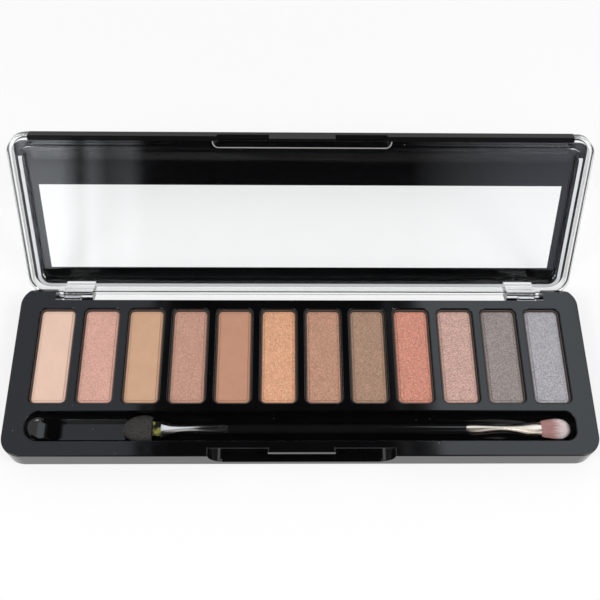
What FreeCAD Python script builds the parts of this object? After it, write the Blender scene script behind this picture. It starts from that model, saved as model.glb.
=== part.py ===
import FreeCAD, Part
import math
import os
import re
import Sketcher

# Eyeshadow palette: a black base with twelve pans and a trough, a clear lid on two pins,
# and a loose applicator with a sponge at one end and a brush at the other.
# Millimetres. The origin is the centre of the base's underside, +X to the right along the
# length, +Y towards the hinge and +Z up. The lid stands open, as it does in use.

doc = FreeCAD.newDocument("palette")
sheet = doc.addObject("Spreadsheet::Sheet", "sizes")

# Driving sizes
SIZES = {
    # base
    "base_length": 190.0,
    "base_depth": 60.0,
    "base_height": 8.5,
    "base_corner": 6.6,
    "base_wall": 1.6,
    "deck_edge_round": 0.4,
    "foot_edge_round": 0.5,
    "opening_edge_round": 0.3,
    # pans and the wells they sit in
    "pan_count": 12,
    "row_end_margin": 6.9,
    "row_rear_margin": 3.15,
    "pan_width": 12.0,
    "pan_corner": 1.9,
    "pan_wall": 0.3,
    "pan_rim_drop": 0.7,
    "pan_clearance": 0.15,
    "well_depth": 5.0,
    "well_floor": 1.0,
    "glue_thickness": 0.3,
    "glue_margin": 2.0,
    "powder_drop": 0.4,
    "powder_gap": 0.03,
    "powder_edge_round": 0.4,
    "powder_border": 0.9,
    "powder_border_drop": 0.25,
    "powder_middle_round": 0.2,
    # trough for the applicator, with a finger ramp at its left end
    "trough_end_margin": 6.9,
    "trough_front_margin": 5.15,
    "trough_rear_margin": 2.6,
    "trough_width": 9.9,
    "trough_depth": 5.8,
    "trough_corner": 3.5,
    "trough_floor_round": 2.6,
    "trough_end_flat": 0.5,
    "ramp_length": 12.0,
    "ramp_height": 4.2,
    "ramp_overlap": 0.8,
    # cover under the base
    "cover_thickness": 1.2,
    "cover_clearance": 0.1,
    # thumb scoop in the front of the base, with the catch tongue
    "scoop_length": 59.2,
    "scoop_depth": 2.7,
    "scoop_floor": 2.6,
    "scoop_round": 5.2,
    "tongue_length": 21.4,
    "catch_clearance": 0.2,
    "tongue_height": 2.2,
    # hinge
    "hinge_from_rear": 2.0,
    "hinge_height": 5.3,
    "cheek_length": 11.5,
    "recess_depth": 4.9,
    "rear_chamfer": 1.6,
    "pin_diameter": 1.5,
    "pin_in_base": 4.5,
    "pin_in_tab": 5.5,
    "pin_end_room": 0.4,
    "pin_running_clearance": 0.05,
    "tab_gap": 2.3,
    "tab_width": 9.9,
    "tab_front_clearance": 0.3,
    "tab_below_pin": 1.7,
    "tab_round": 1.2,
    # lid
    "lid_open_angle": 120.0,
    "lid_gap": 0.15,
    "lid_inset_ends": 1.3,
    "lid_inset_front": 0.3,
    "lid_inset_rear": 0.7,
    "lid_height": 4.3,
    "lid_panel": 1.4,
    "lid_wall": 1.5,
    "lid_corner": 6.0,
    "lid_edge_round": 0.8,
    "rim_edge_round": 0.25,
    "bead_gap": 1.8,
    "bead_width": 1.1,
    "bead_height": 2.6,
    "bead_front_extra": 1.0,
    # thumb block, finger notch and catch lip at the front of the lid
    "block_length": 57.0,
    "block_depth": 3.9,
    "block_round": 2.0,
    "notch_length": 54.0,
    "notch_depth": 2.4,
    "notch_height": 1.7,
    "lip_length": 21.0,
    "lip_thickness": 0.8,
    "lip_below_rim": 1.6,
    # border film on the lid
    "film_thickness": 0.2,
    "film_margin": 1.2,
    "film_corner": 5.0,
    "film_clearance": 0.05,
    "window_overlap_ends": 1.9,
    "window_overlap_front": 1.15,
    "window_overlap_rear": 1.75,
    # applicator
    "applicator_gap": 0.2,
    "brush_end_gap": 0.9,
    "handle_length": 76.7,
    "handle_diameter": 3.3,
    "spigot_length": 6.0,
    "spigot_diameter": 2.4,
    "ferrule_diameter": 3.5,
    "sponge_ferrule_length": 21.5,
    "sponge_waist": 2.9,
    "sponge_flare_width": 5.6,
    "sponge_flare_thickness": 1.5,
    "holder_width": 4.8,
    "holder_thickness": 0.8,
    "holder_neck": 2.9,
    "tenon_length": 3.0,
    "tenon_width": 2.4,
    "holder_in_sponge": 4.5,
    "holder_fit_gap": 0.03,
    "sponge_length": 9.6,
    "sponge_width": 9.4,
    "sponge_thickness": 4.4,
    "brush_ferrule_length": 24.4,
    "brush_waist": 3.0,
    "brush_flare_width": 4.8,
    "brush_flare_thickness": 2.2,
    "bristle_root_length": 4.0,
    "bristle_root_width": 4.2,
    "bristle_root_thickness": 1.5,
    "bristle_length": 9.7,
    "bristle_width": 6.9,
    "bristle_thickness": 2.4,
}

# Sizes that follow from the ones above: the layout of the base and what lines up with it
TIED = {
    "recess_length": "base_length - 2 * cheek_length",
    "trough_length": "base_length - 2 * trough_end_margin",
    "trough_y": "trough_front_margin + trough_width / 2 - base_depth / 2",
    "trough_left_corner": "(trough_width - trough_end_flat) / 2",
    "pan_pitch": "(base_length - 2 * row_end_margin - pan_width - 2 * pan_clearance) / (pan_count - 1)",
    "well_front": "trough_y + trough_width / 2 + trough_rear_margin",
    "well_rear": "base_depth / 2 - recess_depth - row_rear_margin",
    "pan_length": "well_rear - well_front - 2 * pan_clearance",
    "pan_row_y": "(well_rear + well_front) / 2",
    "tongue_reach": "scoop_depth - lid_inset_front - lip_thickness - catch_clearance",
    "tab_front_reach": "recess_depth - hinge_from_rear - tab_front_clearance",
    "window_length": "base_length - 2 * row_end_margin - 2 * window_overlap_ends",
    "window_depth": "well_rear - well_front - window_overlap_front - window_overlap_rear",
    "window_from_rear": "base_depth / 2 - lid_inset_rear - well_rear + window_overlap_rear",
}

row = 0
for name, size in SIZES.items():
    row += 1
    sheet.set("A%d" % row, name)
    sheet.set("B%d" % row, "%g" % size)
    sheet.setAlias("B%d" % row, name)
for name, formula in TIED.items():
    row += 1
    sheet.set("A%d" % row, name)
    sheet.set("B%d" % row, "=" + formula)
    sheet.setAlias("B%d" % row, name)
doc.recompute()

# Lengths that several pieces share, as formulas on the sheet's names
LID_DEPTH = "(base_depth - lid_inset_front - lid_inset_rear)"
LID_LENGTH = "(base_length - 2 * lid_inset_ends)"
LID_REAR = "(hinge_from_rear - lid_inset_rear)"
LID_MID = "(%s - %s / 2)" % (LID_REAR, LID_DEPTH)
LID_FRONT = "(%s - %s)" % (LID_REAR, LID_DEPTH)
LID_RIM = "(base_height + lid_gap - hinge_height)"
LID_TOP = "(%s + lid_height)" % LID_RIM
LID_HOLLOW = "(lid_height - lid_panel)"
LID_CEILING = "(%s + %s)" % (LID_RIM, LID_HOLLOW)
WINDOW_MID = "(%s - window_from_rear - window_depth / 2)" % LID_REAR
HINGE_Y = "(base_depth / 2 - hinge_from_rear)"
COVER_FRONT = "(base_wall - base_depth / 2)"
COVER_REAR = "(base_depth / 2 - recess_depth - base_wall)"
PAN_HEIGHT = "(well_depth - glue_thickness - pan_rim_drop)"
WELL_FLOOR_Z = "(base_height - well_depth)"
FIRST_PAN_X = "(-pan_pitch * (pan_count - 1) / 2)"
TROUGH_FLOOR_Z = "(base_height - trough_depth)"
TAB_OUTER_X = "(recess_length / 2 - tab_gap)"
BRUSH_REACH = "(handle_length + brush_ferrule_length + bristle_length)"
APPLICATOR_X = "(trough_length / 2 - brush_end_gap - %s)" % BRUSH_REACH
APPLICATOR_Z = "(%s + applicator_gap + sponge_thickness / 2)" % TROUGH_FLOOR_Z


def number(formula):
    """The value of a formula written in the sheet's names."""
    return float(sheet.evalExpression(formula))


def bind(thing, prop, formula):
    """Tie a property to a formula written in the sheet's names."""
    def add_sheet(match):
        word = match.group(0)
        return "sizes." + word if word in SIZES or word in TIED else word
    thing.setExpression(prop, re.sub(r"[A-Za-z_]\w*", add_sheet, formula))


def place(thing, x="0", y="0", z="0"):
    """Put a piece at a point of the palette's frame."""
    bind(thing, "Placement.Base.x", x)
    bind(thing, "Placement.Base.y", y)
    bind(thing, "Placement.Base.z", z)


# Sketches and features

def new_body(label):
    body = doc.addObject("PartDesign::Body", label)
    body.Label = label
    return body


def new_sketch(body, name, plane, x="0", y="0", z="0", turn=0):
    """An empty sketch on one of the body's planes, moved by x, y and z along the sketch's own axes."""
    sketch = body.newObject("Sketcher::SketchObject", body.Name + "_" + name)
    support = [item for item in body.Origin.OriginFeatures if item.Role == plane][0]
    sketch.AttachmentSupport = [(support, "")]
    sketch.MapMode = "FlatFace"
    sketch.AttachmentOffset = FreeCAD.Placement(
        FreeCAD.Vector(number(x), number(y), number(z)),
        FreeCAD.Rotation(FreeCAD.Vector(0, 0, 1), turn))
    bind(sketch, "AttachmentOffset.Base.x", x)
    bind(sketch, "AttachmentOffset.Base.y", y)
    bind(sketch, "AttachmentOffset.Base.z", z)
    return sketch


def limit(sketch, name, kind, *args):
    """Add a named dimension to a sketch and tie it to the formula given last."""
    formula = args[-1]
    index = sketch.addConstraint(Sketcher.Constraint(kind, *args[:-1], number(formula)))
    sketch.renameConstraint(index, name)
    bind(sketch, "Constraints." + name, formula)


def draw_rectangle(sketch, wide, tall):
    """A rectangle centred on the sketch's origin."""
    x = number(wide) / 2
    y = number(tall) / 2
    corners = [FreeCAD.Vector(-x, -y), FreeCAD.Vector(x, -y), FreeCAD.Vector(x, y), FreeCAD.Vector(-x, y)]
    for i in range(4):
        sketch.addGeometry(Part.LineSegment(corners[i], corners[(i + 1) % 4]))
    for i in range(4):
        sketch.addConstraint(Sketcher.Constraint("Coincident", i, 2, (i + 1) % 4, 1))
        sketch.addConstraint(Sketcher.Constraint("Vertical" if i % 2 else "Horizontal", i))
    sketch.addConstraint(Sketcher.Constraint("Symmetric", 0, 1, 1, 2, -1, 1))
    limit(sketch, "wide", "DistanceX", 0, 1, 0, 2, wide)
    limit(sketch, "tall", "DistanceY", 1, 1, 1, 2, tall)


def draw_rounded(sketch, wide, tall, corner, left_corner=None):
    """A rectangle with rounded corners, centred on the sketch's origin, the left ones of their own size."""
    x = number(wide) / 2
    y = number(tall) / 2
    r = number(corner)
    q = number(left_corner or corner)
    ends = [
        (FreeCAD.Vector(q - x, -y), FreeCAD.Vector(x - r, -y)),
        (FreeCAD.Vector(x, r - y), FreeCAD.Vector(x, y - r)),
        (FreeCAD.Vector(x - r, y), FreeCAD.Vector(q - x, y)),
        (FreeCAD.Vector(-x, y - q), FreeCAD.Vector(-x, q - y)),
    ]
    centres = [
        (FreeCAD.Vector(x - r, r - y), r),
        (FreeCAD.Vector(x - r, y - r), r),
        (FreeCAD.Vector(q - x, y - q), q),
        (FreeCAD.Vector(q - x, q - y), q),
    ]
    for start, end in ends:
        sketch.addGeometry(Part.LineSegment(start, end))
    for i, (centre, radius) in enumerate(centres):
        circle = Part.Circle(centre, FreeCAD.Vector(0, 0, 1), radius)
        first = -math.pi / 2 + i * math.pi / 2
        sketch.addGeometry(Part.ArcOfCircle(circle, first, first + math.pi / 2))
    for i in range(4):
        sketch.addConstraint(Sketcher.Constraint("Tangent", i, 2, 4 + i, 1))
        sketch.addConstraint(Sketcher.Constraint("Tangent", 4 + i, 2, (i + 1) % 4, 1))
        sketch.addConstraint(Sketcher.Constraint("Vertical" if i % 2 else "Horizontal", i))
    sketch.addConstraint(Sketcher.Constraint("Equal", 4, 5))
    sketch.addConstraint(Sketcher.Constraint("Equal", 6, 7))
    limit(sketch, "corner", "Radius", 4, corner)
    limit(sketch, "left_corner", "Radius", 6, left_corner or corner)
    limit(sketch, "wide", "DistanceX", 3, 1, 1, 1, wide)
    limit(sketch, "tall", "DistanceY", 0, 1, 2, 1, tall)
    limit(sketch, "left", "DistanceX", 3, 1, -1, 1, "(%s) / 2" % wide)
    limit(sketch, "low", "DistanceY", 0, 1, -1, 1, "(%s) / 2" % tall)


def draw_ramp(sketch, length, height, overlap):
    """A hollow ramp that falls from the left to the sketch's origin, with its back and foot buried."""
    x = number(length)
    y = number(height)
    bury = number(overlap)
    radius = (x * x + y * y) / (2 * y)
    circle = Part.Circle(FreeCAD.Vector(0, radius), FreeCAD.Vector(0, 0, 1), radius)
    top = math.pi + math.atan2(radius - y, x)
    corners = [FreeCAD.Vector(-x, y), FreeCAD.Vector(-x - bury, y), FreeCAD.Vector(-x - bury, -bury),
               FreeCAD.Vector(0, -bury), FreeCAD.Vector(0, 0)]
    sketch.addGeometry(Part.ArcOfCircle(circle, top, 1.5 * math.pi))
    for i in range(4):
        sketch.addGeometry(Part.LineSegment(corners[i], corners[i + 1]))
    sketch.addConstraint(Sketcher.Constraint("Coincident", 0, 1, 1, 1))
    for i in range(1, 4):
        sketch.addConstraint(Sketcher.Constraint("Coincident", i, 2, i + 1, 1))
    sketch.addConstraint(Sketcher.Constraint("Coincident", 4, 2, 0, 2))
    for i in range(1, 5):
        sketch.addConstraint(Sketcher.Constraint("Horizontal" if i % 2 else "Vertical", i))
    sketch.addConstraint(Sketcher.Constraint("Coincident", 0, 2, -1, 1))
    sketch.addConstraint(Sketcher.Constraint("PointOnObject", 0, 3, -2))
    limit(sketch, "length", "DistanceX", 0, 1, 0, 2, length)
    limit(sketch, "height", "DistanceY", 0, 2, 0, 1, height)
    limit(sketch, "back", "DistanceX", 1, 2, 1, 1, overlap)
    limit(sketch, "foot", "DistanceY", 4, 1, 4, 2, overlap)


def draw_circle(sketch, diameter):
    """A circle centred on the sketch's origin."""
    circle = Part.Circle(FreeCAD.Vector(0, 0, 0), FreeCAD.Vector(0, 0, 1), number(diameter) / 2)
    sketch.addGeometry(circle)
    sketch.addConstraint(Sketcher.Constraint("Coincident", 0, 3, -1, 1))
    limit(sketch, "diameter", "Diameter", 0, diameter)


def grow_or_cut(body, kind, sketch, length, backwards, both_ways):
    """Pad or pocket a sketch, and make sure that the solid changed."""
    before = body.Shape.Volume if body.Tip else 0.0
    feature = body.newObject("PartDesign::" + kind, sketch.Name + "_" + kind.lower())
    feature.Profile = sketch
    feature.Reversed = backwards
    feature.Midplane = both_ways
    bind(feature, "Length", length)
    doc.recompute()
    change = body.Shape.Volume - before
    if (change <= 0) if kind == "Pad" else (change >= 0):
        raise RuntimeError("%s did nothing" % feature.Name)
    return feature


def pad(body, sketch, length, backwards=False, both_ways=False):
    return grow_or_cut(body, "Pad", sketch, length, backwards, both_ways)


def pocket(body, sketch, length, backwards=False, both_ways=False):
    return grow_or_cut(body, "Pocket", sketch, length, backwards, both_ways)


def round_edges(body, name, sub_names, radius):
    """Round faces or edges of the body's last feature."""
    base = body.Tip
    fillet = body.newObject("PartDesign::Fillet", body.Name + "_" + name)
    fillet.Base = (base, sub_names)
    bind(fillet, "Radius", radius)
    doc.recompute()
    return fillet


def level_face(body, z):
    """The name of the body's largest flat face at height z."""
    best = None
    for i, face in enumerate(body.Tip.Shape.Faces, start=1):
        box = face.BoundBox
        if abs(box.ZMin - z) < 1e-4 and abs(box.ZMax - z) < 1e-4:
            if best is None or face.Area > best[0]:
                best = (face.Area, "Face%d" % i)
    return best[1]


def hollow_face(body, radius):
    """The name of the body's round face of a given radius."""
    for i, face in enumerate(body.Tip.Shape.Faces, start=1):
        if isinstance(face.Surface, Part.Cylinder) and abs(face.Surface.Radius - radius) < 1e-4:
            return "Face%d" % i


def edges_where(body, test):
    """The names of the edges of the body's last feature whose middle and bounds pass a test."""
    names = []
    for i, edge in enumerate(body.Tip.Shape.Edges, start=1):
        middle = edge.valueAt((edge.FirstParameter + edge.LastParameter) / 2)
        if test(middle, edge.BoundBox):
            names.append("Edge%d" % i)
    return names


def near(first, second):
    return abs(first - second) < 1e-4


# Base tray: outline, wells, trough, thumb scoop, hinge recess and the hollow underneath
tray = new_body("base_tray")
outline = new_sketch(tray, "outline", "XY_Plane")
draw_rounded(outline, "base_length", "base_depth", "base_corner")
pad(tray, outline, "base_height")

scoop = new_sketch(tray, "scoop", "XZ_Plane", y="scoop_floor + base_height / 2", z="base_depth / 2")
draw_rectangle(scoop, "scoop_length", "base_height")
pocket(tray, scoop, "scoop_depth")
scoop_floor_z = number("scoop_floor")
scoop_corners = edges_where(
    tray, lambda mid, box: near(mid.z, scoop_floor_z) and near(abs(mid.x), number("scoop_length / 2")))
round_edges(tray, "scoop_corners", scoop_corners, "scoop_round")
tongue = new_sketch(tray, "tongue", "XY_Plane", y="scoop_depth - tongue_reach / 2 - base_depth / 2",
                    z="base_height")
draw_rectangle(tongue, "tongue_length", "tongue_reach")
pad(tray, tongue, "tongue_height", backwards=True)

# Rounded edges of the deck, with the scoop and the tongue, and of the foot
round_edges(tray, "deck_edge", [level_face(tray, number("base_height"))], "deck_edge_round")
round_edges(tray, "foot_edge", [level_face(tray, 0.0)], "foot_edge_round")

trough = new_sketch(tray, "trough", "XY_Plane", y="trough_y", z="base_height")
draw_rounded(trough, "trough_length", "trough_width", "trough_corner", "trough_left_corner")
pocket(tray, trough, "trough_depth")
ramp = new_sketch(tray, "ramp", "XZ_Plane", x="ramp_length - trough_length / 2", y=TROUGH_FLOOR_Z,
                  z="-trough_y")
draw_ramp(ramp, "ramp_length", "ramp_height", "ramp_overlap")
pad(tray, ramp, "trough_width + 2 * ramp_overlap", both_ways=True)
trough_floor = level_face(tray, number(TROUGH_FLOOR_Z))
ramp_face = hollow_face(tray, number("(ramp_length^2 + ramp_height^2) / (2 * ramp_height)"))
round_edges(tray, "trough_floor", [trough_floor, ramp_face], "trough_floor_round")

well = new_sketch(tray, "well", "XY_Plane", x=FIRST_PAN_X, y="pan_row_y", z="base_height")
draw_rounded(well, "pan_width + 2 * pan_clearance", "pan_length + 2 * pan_clearance",
             "pan_corner + pan_clearance")
first_well = pocket(tray, well, "well_depth")
wells = tray.newObject("PartDesign::LinearPattern", "base_tray_wells")
wells.Originals = [first_well]
wells.Direction = (well, ["H_Axis"])
bind(wells, "Length", "pan_pitch * (pan_count - 1)")
bind(wells, "Occurrences", "pan_count")
tray.Tip = wells
doc.recompute()

# Softly rounded edges round the wells and the trough, well inside the edge of the deck
deck_z = number("base_height")
inner_x = number("(base_length - row_end_margin) / 2")
inner_front = number("(trough_front_margin + scoop_depth - base_depth) / 2")
inner_rear = number("(base_depth - row_rear_margin) / 2")
opening_edges = edges_where(
    tray, lambda mid, box: near(mid.z, deck_z) and abs(mid.x) < inner_x and inner_front < mid.y < inner_rear)
round_edges(tray, "opening_edges", opening_edges, "opening_edge_round")

recess = new_sketch(tray, "recess", "XY_Plane", y="base_depth / 2", z="base_height")
draw_rectangle(recess, "recess_length", "2 * recess_depth")
pocket(tray, recess, "base_height")
chamfer = new_sketch(tray, "rear_chamfer", "YZ_Plane", x="base_depth / 2", y="base_height", turn=45)
draw_rectangle(chamfer, "rear_chamfer * sqrt(2)", "rear_chamfer * sqrt(2)")
pocket(tray, chamfer, "base_length", both_ways=True)
pin_holes = new_sketch(tray, "pin_holes", "YZ_Plane", x=HINGE_Y, y="hinge_height")
draw_circle(pin_holes, "pin_diameter")
pocket(tray, pin_holes, "recess_length + 2 * pin_in_base", both_ways=True)

cover_middle = "(%s + %s) / 2" % (COVER_FRONT, COVER_REAR)
cover_depth = "(%s - %s)" % (COVER_REAR, COVER_FRONT)
cover_length = "(base_length - 2 * base_wall)"
cover_corner = "(base_corner - base_wall)"
seat = new_sketch(tray, "cover_seat", "XY_Plane", y=cover_middle)
draw_rounded(seat, cover_length, cover_depth, cover_corner)
pocket(tray, seat, "cover_thickness", backwards=True)
hollow = new_sketch(tray, "hollow", "XY_Plane", y="pan_row_y", z="cover_thickness")
draw_rectangle(hollow, "pan_pitch * (pan_count - 1) + pan_width", "pan_length")
pocket(tray, hollow, "%s - well_floor - cover_thickness" % WELL_FLOOR_Z, backwards=True)

# Cover under the base
cover = new_body("base_cover")
plate = new_sketch(cover, "plate", "XY_Plane", y=cover_middle)
draw_rounded(plate, cover_length + " - 2 * cover_clearance", cover_depth + " - 2 * cover_clearance",
             cover_corner + " - cover_clearance")
pad(cover, plate, "cover_thickness")


# Pans, powders and glue pads
def make_pan(index):
    """One tin pan: a thin tray with rounded corners, rim below the deck."""
    pan = new_body("pan_%02d" % (index + 1))
    shell = new_sketch(pan, "shell", "XY_Plane")
    draw_rounded(shell, "pan_width", "pan_length", "pan_corner")
    pad(pan, shell, PAN_HEIGHT)
    inside = new_sketch(pan, "inside", "XY_Plane", z=PAN_HEIGHT)
    draw_rounded(inside, "pan_width - 2 * pan_wall", "pan_length - 2 * pan_wall", "pan_corner - pan_wall")
    pocket(pan, inside, PAN_HEIGHT + " - pan_wall")
    place(pan, x="%s + pan_pitch * %d" % (FIRST_PAN_X, index), y="pan_row_y",
          z=WELL_FLOOR_Z + " + glue_thickness")
    return pan


def make_powder(index):
    """One pressed powder cake: a raised middle in a lower border, both with softly rounded edges."""
    powder = new_body("powder_%02d" % (index + 1))
    border_top = PAN_HEIGHT + " - pan_wall - powder_drop - powder_border_drop"
    cake = new_sketch(powder, "cake", "XY_Plane")
    draw_rounded(cake, "pan_width - 2 * pan_wall - 2 * powder_gap",
                 "pan_length - 2 * pan_wall - 2 * powder_gap", "pan_corner - pan_wall - powder_gap")
    pad(powder, cake, border_top)
    round_edges(powder, "edge", [level_face(powder, number(border_top))], "powder_edge_round")
    middle = new_sketch(powder, "middle", "XY_Plane", z=border_top)
    draw_rounded(middle, "pan_width - 2 * pan_wall - 2 * powder_gap - 2 * powder_border",
                 "pan_length - 2 * pan_wall - 2 * powder_gap - 2 * powder_border",
                 "pan_corner - pan_wall - powder_gap - powder_border")
    pad(powder, middle, "powder_border_drop")
    middle_top = level_face(powder, number(border_top + " + powder_border_drop"))
    round_edges(powder, "middle_edge", [middle_top], "powder_middle_round")
    place(powder, x="%s + pan_pitch * %d" % (FIRST_PAN_X, index), y="pan_row_y",
          z=WELL_FLOOR_Z + " + glue_thickness + pan_wall")
    return powder


pans = [make_pan(index) for index in range(int(SIZES["pan_count"]))]
powders = [make_powder(index) for index in range(int(SIZES["pan_count"]))]

# One thin glue pad under each pan
pads = []
for index in range(int(SIZES["pan_count"])):
    glue_pad = doc.addObject("Part::Box", "glue_pad_%02d" % (index + 1))
    bind(glue_pad, "Length", "pan_width - 2 * glue_margin")
    bind(glue_pad, "Width", "pan_length - 2 * glue_margin")
    bind(glue_pad, "Height", "glue_thickness")
    place(glue_pad, x="%s + pan_pitch * %d - pan_width / 2 + glue_margin" % (FIRST_PAN_X, index),
          y="pan_row_y - pan_length / 2 + glue_margin", z=WELL_FLOOR_Z)
    pads.append(glue_pad)
glue = doc.addObject("Part::Compound", "pan_adhesive")
glue.Label = "pan_adhesive"
glue.Links = pads


# Lid, drawn closed in the hinge's own frame and then swung open about the pins
def swing_open(thing):
    """Put a piece drawn about the hinge pins, closed, in its open place."""
    place(thing, y=HINGE_Y, z="hinge_height")
    thing.Placement = FreeCAD.Placement(
        FreeCAD.Vector(0, number(HINGE_Y), number("hinge_height")),
        FreeCAD.Rotation(FreeCAD.Vector(-1, 0, 0), number("lid_open_angle")))
    bind(thing, "Placement.Rotation.Angle", "lid_open_angle")


lid = new_body("lid_shell")
block = new_sketch(lid, "block", "XY_Plane", y=LID_MID, z=LID_RIM)
draw_rounded(block, LID_LENGTH, LID_DEPTH, "lid_corner")
pad(lid, block, "lid_height")
round_edges(lid, "top_edge", [level_face(lid, number(LID_TOP))], "lid_edge_round")
round_edges(lid, "rim_edge", [level_face(lid, number(LID_RIM))], "rim_edge_round")
inside = new_sketch(lid, "inside", "XY_Plane", y=LID_MID, z=LID_RIM)
draw_rounded(inside, LID_LENGTH + " - 2 * lid_wall", LID_DEPTH + " - 2 * lid_wall", "lid_corner - lid_wall")
pocket(lid, inside, LID_HOLLOW, backwards=True)

# Bead inside the rim: a solid island, then hollowed. It stands further in at the front
bead_out = "2 * (lid_wall + bead_gap)"
bead_in = "2 * (lid_wall + bead_gap + bead_width)"
bead_mid = LID_MID + " + bead_front_extra / 2"
bead_corner = "lid_corner - lid_wall - bead_gap / 2"
bead = new_sketch(lid, "bead", "XY_Plane", y=bead_mid, z=LID_CEILING)
draw_rounded(bead, LID_LENGTH + " - " + bead_out, LID_DEPTH + " - bead_front_extra - " + bead_out,
             bead_corner)
pad(lid, bead, "bead_height", backwards=True)
bead_bore = new_sketch(lid, "bead_bore", "XY_Plane", y=bead_mid, z=LID_CEILING)
draw_rounded(bead_bore, LID_LENGTH + " - " + bead_in, LID_DEPTH + " - bead_front_extra - " + bead_in,
             bead_corner + " - bead_width / 2")
pocket(lid, bead_bore, "bead_height")

# Thumb block, finger notch and catch lip at the front
thumb = new_sketch(lid, "thumb_block", "XY_Plane", y=LID_FRONT + " + lid_wall / 2 + block_depth / 2",
                   z=LID_CEILING)
draw_rectangle(thumb, "block_length", "block_depth - lid_wall")
pad(lid, thumb, LID_HOLLOW, backwards=True)
block_edges = edges_where(
    lid, lambda mid, box: near(abs(mid.x), number("block_length / 2"))
    and near(mid.y, number(LID_FRONT + " + block_depth")) and box.ZLength > 1)
round_edges(lid, "block_corners", block_edges, "block_round")
notch = new_sketch(lid, "notch", "XZ_Plane", y=LID_RIM, z="-" + LID_FRONT)
draw_rectangle(notch, "notch_length", "2 * notch_height")
pocket(lid, notch, "notch_depth")
lip = new_sketch(lid, "catch_lip", "XY_Plane", y=LID_FRONT + " + lip_thickness / 2",
                 z=LID_RIM + " + notch_height")
draw_rectangle(lip, "lip_length", "lip_thickness")
pad(lid, lip, "notch_height + lip_below_rim", backwards=True)

# Two tabs that turn on the pins
tab_tall = "(%s + tab_below_pin)" % LID_CEILING
for side, name in ((-1, "left"), (1, "right")):
    tab_x = "-%s" % TAB_OUTER_X if side < 0 else "%s - tab_width" % TAB_OUTER_X
    tab = new_sketch(lid, "tab_" + name, "YZ_Plane", x="(%s - tab_front_reach) / 2" % LID_REAR,
                     y=tab_tall + " / 2 - tab_below_pin", z=tab_x)
    draw_rectangle(tab, LID_REAR + " + tab_front_reach", tab_tall)
    pad(lid, tab, "tab_width")
    low = -number("tab_below_pin")
    middle_x = number(tab_x) + number("tab_width") / 2
    tab_edges = edges_where(lid, lambda mid, box: near(mid.z, low) and near(mid.x, middle_x))
    round_edges(lid, "tab_round_" + name, tab_edges, "tab_round")
    hole = new_sketch(lid, "pin_hole_" + name, "YZ_Plane",
                      z="-%s" % TAB_OUTER_X if side < 0 else TAB_OUTER_X)
    draw_circle(hole, "pin_diameter + 2 * pin_running_clearance")
    pocket(lid, hole, "pin_in_tab + pin_end_room", backwards=side < 0)

# Shallow seat for the border film, with the window left standing
film_seat = new_sketch(lid, "film_seat", "XY_Plane", y=LID_MID, z=LID_TOP)
draw_rounded(film_seat, LID_LENGTH + " - 2 * film_margin", LID_DEPTH + " - 2 * film_margin", "film_corner")
pocket(lid, film_seat, "film_thickness")
window = new_sketch(lid, "window", "XY_Plane", y=WINDOW_MID, z=LID_TOP)
draw_rectangle(window, "window_length", "window_depth")
pad(lid, window, "film_thickness", backwards=True)
swing_open(lid)

# Border film
film = new_body("lid_border_film")
film_sheet = new_sketch(film, "sheet", "XY_Plane", y=LID_MID, z=LID_TOP)
draw_rounded(film_sheet, LID_LENGTH + " - 2 * film_margin - 2 * film_clearance",
             LID_DEPTH + " - 2 * film_margin - 2 * film_clearance", "film_corner - film_clearance")
pad(film, film_sheet, "film_thickness", backwards=True)
film_window = new_sketch(film, "window", "XY_Plane", y=WINDOW_MID, z=LID_TOP)
draw_rectangle(film_window, "window_length + 2 * film_clearance", "window_depth + 2 * film_clearance")
pocket(film, film_window, "film_thickness")
swing_open(film)

# Hinge pins, pressed into the base's cheeks
pin_length = "(pin_in_base + tab_gap + pin_in_tab)"
pins = []
for side, name in ((-1, "hinge_pin_left"), (1, "hinge_pin_right")):
    pin = doc.addObject("Part::Cylinder", name)
    pin.Label = name
    bind(pin, "Radius", "pin_diameter / 2")
    bind(pin, "Height", pin_length)
    pin.Placement = FreeCAD.Placement(
        FreeCAD.Vector(0, 0, 0), FreeCAD.Rotation(FreeCAD.Vector(0, 1, 0), 90))
    start = "-recess_length / 2 - pin_in_base"
    if side > 0:
        start = "recess_length / 2 + pin_in_base - " + pin_length
    place(pin, x=start, y=HINGE_Y, z="hinge_height")
    pins.append(pin)


# Applicator, drawn along +X from the sponge end of its handle
def rod(name, diameter, length, x):
    """A round bar along X, on the applicator's axis."""
    bar = doc.addObject("Part::Cylinder", name)
    bind(bar, "Radius", diameter + " / 2")
    bind(bar, "Height", length)
    bar.Placement = FreeCAD.Placement(
        FreeCAD.Vector(0, 0, 0), FreeCAD.Rotation(FreeCAD.Vector(0, 1, 0), 90))
    place(bar, x="%s + %s" % (APPLICATOR_X, x), y="trough_y", z=APPLICATOR_Z)
    return bar


def blade(name, length, wide, thick, x):
    """A flat bar along X, on the applicator's axis."""
    bar = doc.addObject("Part::Box", name)
    bind(bar, "Length", length)
    bind(bar, "Width", wide)
    bind(bar, "Height", thick)
    place(bar, x="%s + %s" % (APPLICATOR_X, x), y="trough_y - %s / 2" % wide,
          z="%s - %s / 2" % (APPLICATOR_Z, thick))
    return bar


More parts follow.
